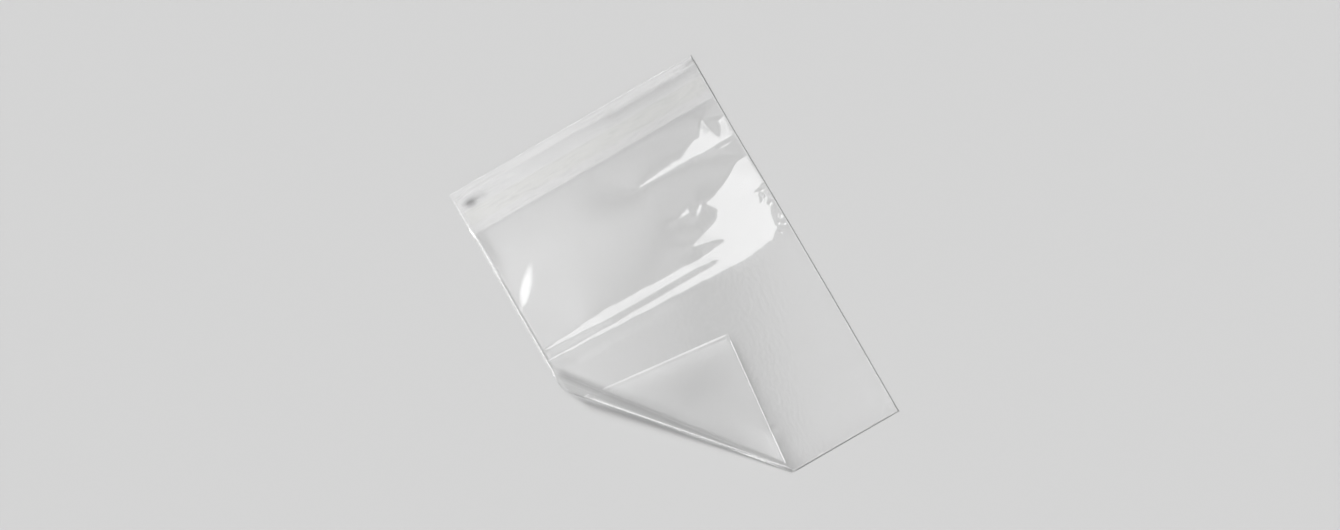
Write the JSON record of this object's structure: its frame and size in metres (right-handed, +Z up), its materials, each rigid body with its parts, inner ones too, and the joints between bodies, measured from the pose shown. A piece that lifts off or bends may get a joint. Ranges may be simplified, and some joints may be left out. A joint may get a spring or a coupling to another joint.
{
  "type": "cellophane bag",
  "caption": "Empty clear film bag with side seals and a self-seal flap folded shut, lying flat with a bottom corner softly curled over its front.",
  "frame": {"origin": "centre of the flat bag's outline, on the surface it lies on", "axes": "+X across the bag between its side seals, +Y from the bottom fold to the flap fold, +Z up from the back panel to the front panel"},
  "size_m": [0.22, 0.322, 0.0176],
  "materials": {
    "clear_film": "clear gloss",
    "clear_adhesive": "clear tacky"
  },
  "bodies": {
    "root": {"film_bag": "clear_film", "adhesive_strip": "clear_adhesive"}
  },
  "joints": []
}
